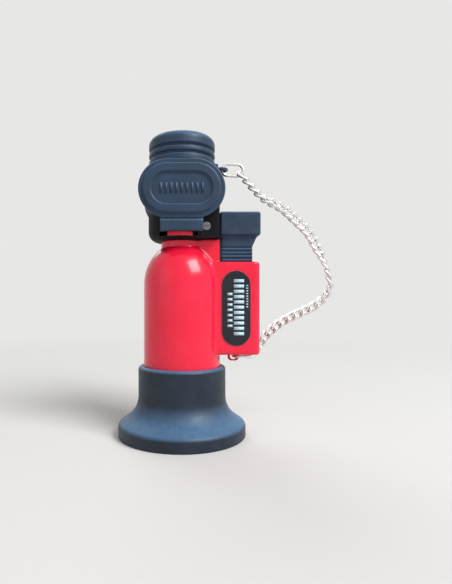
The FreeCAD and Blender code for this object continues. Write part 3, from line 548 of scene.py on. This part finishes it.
# ---- label and the panel's bars -----------------------------------------------------------------
def add_bars(name, places, y_back, y_front, material, body, edge):
    """Small flat-fronted bars, each given by its x, z, width and height in millimetres."""
    bm = bmesh.new()
    for x, z, width, height in places:
        middle = ((x * MM), (y_back + y_front) / 2 * MM, z * MM)
        size = Matrix.Diagonal((width * MM, abs(y_back - y_front) * MM, height * MM, 1))
        bmesh.ops.create_cube(bm, size=1, matrix=Matrix.Translation(middle) @ size)
    bmesh.ops.bevel(bm, geom=bm.edges[:], offset=edge * MM, segments=2, affect="EDGES")
    return add_piece(name, bm, material, body)


def add_label_marks(material):
    """A plain level scale on the label: three columns of bars, with no figures or words."""
    low, high = span("label_plate")
    x_mid = (low[0] + high[0]) / 2
    z_mid = (low[2] + high[2]) / 2
    places = [(x_mid + 1.0, z_mid + 2.0 * n + 0.4, 3.9, 1.2) for n in range(-5, 6)]
    places += [(x_mid - 2.4, z_mid + 2.0 * n - 0.6, 1.9, 0.9) for n in range(-3, 4)]
    places += [(x_mid + 4.1, z_mid + 1.0 * n + 4.6, 0.8, 0.45) for n in range(-4, 5)]
    add_bars("label_scale", places, low[1], low[1] - 0.05, material, "torch", 0.02)


def add_panel_bars(material):
    """A row of plain, evenly spaced grip ribs in the front cover's sunk panel."""
    places = [(1.9 * n, DRUM_Z, 0.8, 3.8) for n in range(-4, 5)]
    add_bars("panel_bars", places, -PANEL_Y + 0.1, -PANEL_Y - 0.4, material,
             "torch", 0.15)


# ---- materials -----------------------------------------------------------------------------
def linear(red, green, blue):
    """A screen colour, 0 to 255, as a linear colour."""
    def one(value):
        value /= 255
        return value / 12.92 if value <= 0.04045 else ((value + 0.055) / 1.055) ** 2.4
    return (one(red), one(green), one(blue), 1)


class Surface:
    """A material under construction: its nodes and links, and the shader at its end."""

    def __init__(self, name):
        self.material = bpy.data.materials.new(name)
        self.material.use_nodes = True
        self.tree = self.material.node_tree
        self.shader = self.tree.nodes["Principled BSDF"]
        self.place = self.add("ShaderNodeTexCoord").outputs["Object"]

    def add(self, kind, **inputs):
        node = self.tree.nodes.new(kind)
        for key, value in inputs.items():
            self.set(node.inputs[key.replace("_", " ")], value)
        return node

    def set(self, socket, value):
        if isinstance(value, bpy.types.NodeSocket):
            self.tree.links.new(value, socket)
        else:
            socket.default_value = value

    def noise(self, scale, detail=4, roughness=0.55, stretch=None):
        """A noise between about 0.25 and 0.75, with scale in cells per metre."""
        place = self.place
        if stretch:
            mapping = self.add("ShaderNodeMapping", Vector=place, Scale=stretch)
            place = mapping.outputs["Vector"]
        node = self.add(
            "ShaderNodeTexNoise", Vector=place, Scale=scale, Detail=detail, Roughness=roughness
        )
        return node.outputs["Fac"]

    def spread(self, value, low, high, to_low=0.0, to_high=1.0):
        """Maps low..high of a value to to_low..to_high, held at the ends."""
        node = self.add("ShaderNodeMapRange", Value=value)
        node.inputs["From Min"].default_value = low
        node.inputs["From Max"].default_value = high
        node.inputs["To Min"].default_value = to_low
        node.inputs["To Max"].default_value = to_high
        return node.outputs["Result"]

    def mix(self, share, first, second):
        node = self.tree.nodes.new("ShaderNodeMix")
        node.data_type = "RGBA"
        self.set(node.inputs["Factor"], share)
        colours = [socket for socket in node.inputs if socket.type == "RGBA"]
        self.set(colours[0], first)
        self.set(colours[1], second)
        return [socket for socket in node.outputs if socket.type == "RGBA"][0]

    def math(self, operation, first, second=0.0):
        node = self.tree.nodes.new("ShaderNodeMath")
        node.operation = operation
        self.set(node.inputs[0], first)
        self.set(node.inputs[1], second)
        return node.outputs[0]

    def edge(self, radius):
        """1 on edges (for wear, and for painted edge highlights), 0 on flat faces, and the rounded
        normal.
        """
        bevel = self.add("ShaderNodeBevel", Radius=radius)
        bevel.samples = 6
        geometry = self.add("ShaderNodeNewGeometry")
        dot = self.tree.nodes.new("ShaderNodeVectorMath")
        dot.operation = "DOT_PRODUCT"
        self.set(dot.inputs[0], bevel.outputs["Normal"])
        self.set(dot.inputs[1], geometry.outputs["Normal"])
        return self.spread(dot.outputs["Value"], 0.995, 0.85), bevel.outputs["Normal"]

    def bump(self, height, distance, strength=1.0, normal=None):
        node = self.add("ShaderNodeBump", Height=height, Distance=distance, Strength=strength)
        if normal is not None:
            self.set(node.inputs["Normal"], normal)
        return node.outputs["Normal"]


def plastic(name, low, high, wear_and_sheen, roughness, grain, grain_depth, bevel=0.4 * MM,
            specular=0.35, top_sheen=0.0):
    """Moulded plastic: uneven tone, fine grain, scuffs, paler edges (partly wear, partly a painted edge
    highlight) and a painted sheen of light on up-facing faces.
    """
    s = Surface(name)
    wear, rounded = s.edge(bevel)
    tone = s.mix(s.spread(s.noise(90, 5), 0.35, 0.65), low, high)
    # Painted sheen: faces that look up are paled towards the blue sheen colour, mottled like dust, as
    # light from above would light them.
    if top_sheen:
        geometry = s.add("ShaderNodeNewGeometry")
        split = s.add("ShaderNodeSeparateXYZ", Vector=geometry.outputs["Normal"])
        upward = s.spread(split.outputs["Z"], 0.15, 0.95, 0.0, top_sheen)
        painted_top_sheen = s.math("MULTIPLY", upward, s.spread(s.noise(500, 6, 0.7), 0.3, 0.7, 0.75, 1.1))
        tone = s.mix(painted_top_sheen, tone, wear_and_sheen)
    speck = s.spread(s.noise(2600, 3, 0.7), 0.62, 0.76)
    tone = s.mix(s.math("MULTIPLY", speck, 0.16), tone, wear_and_sheen)
    scuff = s.spread(s.noise(300, 6, 0.7, (1, 1, 7)), 0.56, 0.72)
    tone = s.mix(s.math("MULTIPLY", scuff, 0.08), tone, wear_and_sheen)
    # Paler edges: partly wear, partly a painted highlight along the ridges.
    edge_wear_and_highlight = s.math("MULTIPLY", wear, s.spread(s.noise(500, 4), 0.34, 0.6, 0.3, 0.85))
    tone = s.mix(edge_wear_and_highlight, tone, wear_and_sheen)
    s.set(s.shader.inputs["Base Color"], tone)
    s.set(s.shader.inputs["Roughness"],
          s.spread(s.noise(400, 5), 0.3, 0.7, roughness - 0.06, roughness + 0.08))
    s.shader.inputs["Specular IOR Level"].default_value = specular
    normal = s.bump(s.noise(grain, 2, 0.5), grain_depth, 0.6, rounded)
    s.set(s.shader.inputs["Normal"], normal)
    return s.material


def lacquer_red():
    """The tank's glossy red moulding, with slight waviness, specks and fine hairlines."""
    s = Surface("tank_red")
    wear, rounded = s.edge(0.5 * MM)
    tone = s.mix(s.spread(s.noise(60, 4), 0.35, 0.65), linear(240, 20, 58), linear(247, 32, 70))
    speck = s.spread(s.noise(3000, 2, 0.6), 0.70, 0.80)
    tone = s.mix(s.math("MULTIPLY", speck, 0.10), tone, linear(255, 150, 165))
    hair = s.spread(s.noise(420, 7, 0.75, (1, 1, 0.06)), 0.64, 0.74)
    tone = s.mix(s.math("MULTIPLY", hair, 0.07), tone, linear(255, 150, 165))
    tone = s.mix(s.math("MULTIPLY", wear, 0.10), tone, linear(255, 100, 120))
    s.set(s.shader.inputs["Base Color"], tone)
    s.set(s.shader.inputs["Roughness"], s.spread(s.noise(250, 5), 0.3, 0.7, 0.20, 0.30))
    s.shader.inputs["Specular IOR Level"].default_value = 0.35
    s.shader.inputs["Coat Weight"].default_value = 0.25
    s.shader.inputs["Coat Roughness"].default_value = 0.06
    s.set(s.shader.inputs["Normal"], s.bump(s.noise(240, 2), 0.05 * MM, 0.25, rounded))
    return s.material


def metal(name, low, high, roughness, tarnish, bevel=0.12 * MM, dullness=0.35):
    """Plated or turned metal with tarnish in its dull patches."""
    s = Surface(name)
    _, rounded = s.edge(bevel)
    tone = s.mix(s.spread(s.noise(800, 4), 0.35, 0.65), low, high)
    dull = s.spread(s.noise(1500, 5, 0.65), 0.55, 0.72)
    tone = s.mix(s.math("MULTIPLY", dull, dullness), tone, tarnish)
    s.set(s.shader.inputs["Base Color"], tone)
    s.shader.inputs["Metallic"].default_value = 1.0
    s.set(s.shader.inputs["Roughness"],
          s.math("ADD", s.math("MULTIPLY", dull, 0.15), roughness))
    s.set(s.shader.inputs["Normal"], s.bump(s.noise(2500, 2), 0.004 * MM, 0.3, rounded))
    return s.material


def make_materials():
    """One finished material per material slot of the record."""
    # Pale blue for specks, scuffs and worn edges, and also a painted reflection of blue light for the
    # edge highlights and the top sheen.
    wear_and_sheen = linear(104, 150, 196)
    made = {
        "tank_red": lacquer_red(),
        # The blue tint in the stand's and the covers' blacks is a painted reflection of blue light on
        # black plastic.
        "stand_black": plastic("stand_black", linear(25, 34, 46), linear(33, 45, 60),
                               wear_and_sheen, 0.45, 5200, 0.03 * MM, top_sheen=0.62),
        "head_black": plastic("head_black", linear(13, 14, 17), linear(19, 20, 24),
                              linear(70, 78, 92), 0.56, 6000, 0.03 * MM, specular=0.12),
        "cover_black": plastic("cover_black", linear(34, 52, 72), linear(44, 64, 88),
                               wear_and_sheen, 0.42, 5200, 0.03 * MM, top_sheen=0.60),
        "label_black": plastic("label_black", linear(24, 28, 34), linear(32, 36, 44),
                               linear(150, 160, 172), 0.25, 3000, 0.01 * MM, 0.12 * MM),
        "label_mark": plastic("label_mark", linear(186, 222, 238), linear(204, 236, 248),
                              linear(150, 176, 190), 0.4, 3000, 0.005 * MM, 0.03 * MM),
        "adjuster_red": plastic("adjuster_red", linear(206, 24, 46), linear(220, 36, 58),
                                linear(245, 150, 160), 0.35, 5200, 0.02 * MM, 0.15 * MM),
        "brass": metal("brass", linear(196, 158, 84), linear(222, 188, 112), 0.25,
                       linear(120, 92, 48)),
        "steel": metal("steel", linear(170, 172, 176), linear(200, 202, 206), 0.28,
                       linear(110, 108, 106)),
        "screw_black": metal("screw_black", linear(120, 122, 126), linear(148, 150, 154), 0.32,
                             linear(60, 58, 58)),
        "chain_nickel": metal("chain_nickel", linear(222, 221, 218), linear(240, 239, 237),
                              0.30, linear(150, 146, 138), dullness=0.12),
        "rubber": plastic("rubber", linear(24, 24, 25), linear(34, 34, 36),
                          linear(70, 70, 72), 0.7, 4000, 0.02 * MM, 0.1 * MM),
        "wick_white": plastic("wick_white", linear(214, 210, 200), linear(230, 226, 218),
                              linear(180, 172, 158), 0.85, 4000, 0.05 * MM, 0.1 * MM),
        "piezo_grey": plastic("piezo_grey", linear(120, 122, 126), linear(138, 140, 144),
                              linear(180, 182, 186), 0.5, 5000, 0.02 * MM, 0.15 * MM),
        "lead_red": plastic("lead_red", linear(176, 26, 30), linear(196, 36, 40),
                            linear(226, 120, 122), 0.45, 5000, 0.01 * MM, 0.1 * MM),
        "ceramic": plastic("ceramic", linear(222, 218, 208), linear(236, 233, 226),
                           linear(190, 182, 168), 0.35, 5000, 0.01 * MM, 0.1 * MM),
    }
    return made


def finish_cad_nodes(materials):
    """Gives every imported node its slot's material."""
    slot_of = {row["node"]: row["material_slot"] for row in frame["record"]["subparts"]}
    for name, node in frame["nodes"].items():
        node.data.materials.clear()
        node.data.materials.append(materials[slot_of[name]])


# ---- floor, backdrop and light ---------------------------------------------------------------
def add_stage():
    """A pale floor that curves up into a backdrop far behind."""
    s = Surface("paper")
    tone = s.mix(s.noise(3, 3), linear(226, 226, 224), linear(231, 231, 229))
    s.set(s.shader.inputs["Base Color"], tone)
    s.shader.inputs["Roughness"].default_value = 0.9
    s.shader.inputs["Specular IOR Level"].default_value = 0.1
    far = s.add("ShaderNodeEmission", Color=linear(231, 231, 229))
    away = s.tree.nodes.new("ShaderNodeVectorMath")
    away.operation = "LENGTH"
    s.set(away.inputs[0], s.place)
    rays = s.add("ShaderNodeLightPath")
    seen = s.math("MAXIMUM", rays.outputs["Is Camera Ray"], rays.outputs["Is Glossy Ray"])
    seen = s.math("MAXIMUM", seen, rays.outputs["Is Transmission Ray"])
    share = s.math("MULTIPLY", seen, s.spread(away.outputs["Value"], 0.14, 0.5))
    both = s.add("ShaderNodeMixShader", Fac=share)
    s.tree.links.new(s.shader.outputs["BSDF"], both.inputs[1])
    s.tree.links.new(far.outputs["Emission"], both.inputs[2])
    s.tree.links.new(both.outputs["Shader"], s.tree.nodes["Material Output"].inputs["Surface"])
    bm = bmesh.new()
    half_width, front, back, bend, top = 2.2, -1.6, 0.9, 0.5, 2.2
    profile = [(front, 0.0), (back, 0.0)]
    steps = 16
    for i in range(1, steps + 1):
        a = math.pi / 2 * i / steps
        profile.append((back + bend * math.sin(a), bend - bend * math.cos(a)))
    profile.append((back + bend, top))
    left = [bm.verts.new((-half_width, y, z)) for y, z in profile]
    right = [bm.verts.new((half_width, y, z)) for y, z in profile]
    for i in range(len(profile) - 1):
        bm.faces.new((left[i], right[i], right[i + 1], left[i + 1])).smooth = True
    mesh = bpy.data.meshes.new("floor")
    bm.to_mesh(mesh)
    bm.free()
    mesh.materials.append(s.material)
    floor = bpy.data.objects.new("floor", mesh)
    bpy.context.scene.collection.objects.link(floor)


def area_light(name, place, target, size, power):
    """A soft square lamp that faces a target."""
    data = bpy.data.lights.new(name, "AREA")
    data.shape = "SQUARE"
    data.size = size
    data.energy = power
    lamp = bpy.data.objects.new(name, data)
    lamp.location = place
    lamp.rotation_euler = (Vector(target) - Vector(place)).to_track_quat("-Z", "Y").to_euler()
    bpy.context.scene.collection.objects.link(lamp)


def pale_world():
    """A weak even light from all round, seen past the backdrop as the same pale paper."""
    world = bpy.data.worlds.new("world")
    world.use_nodes = True
    tree = world.node_tree
    even = tree.nodes["Background"]
    even.inputs["Color"].default_value = (1, 1, 1, 1)
    even.inputs["Strength"].default_value = 0.22
    paper = tree.nodes.new("ShaderNodeBackground")
    paper.inputs["Color"].default_value = linear(231, 231, 229)
    rays = tree.nodes.new("ShaderNodeLightPath")
    share = rays.outputs["Is Camera Ray"]
    for name in ("Is Glossy Ray", "Is Transmission Ray"):
        larger = tree.nodes.new("ShaderNodeMath")
        larger.operation = "MAXIMUM"
        tree.links.new(share, larger.inputs[0])
        tree.links.new(rays.outputs[name], larger.inputs[1])
        share = larger.outputs[0]
    both = tree.nodes.new("ShaderNodeMixShader")
    tree.links.new(share, both.inputs["Fac"])
    tree.links.new(even.outputs["Background"], both.inputs[1])
    tree.links.new(paper.outputs["Background"], both.inputs[2])
    tree.links.new(both.outputs["Shader"], tree.nodes["World Output"].inputs["Surface"])
    return world


def add_light():
    """A large soft key light from the upper right front, and weaker fills."""
    target = (0.01, 0, 0.055)
    area_light("key", (0.75, -0.70, 1.00), target, 0.7, 20.0)
    area_light("fill", (-0.95, -0.75, 0.45), target, 0.9, 0.8)
    area_light("back", (-0.30, 0.9, 0.90), target, 0.7, 4.0)
    bpy.context.scene.world = pale_world()
    bpy.context.scene.view_settings.view_transform = "Standard"


# ---- making ----------------------------------------------------------------------------------
add_camera()
materials = make_materials()
add_chain(materials["chain_nickel"])
finish_cad_nodes(materials)
add_tank(materials["tank_red"])
add_mouldings(materials)
add_label_marks(materials["label_mark"])
add_panel_bars(materials["cover_black"])
add_stage()
add_light()
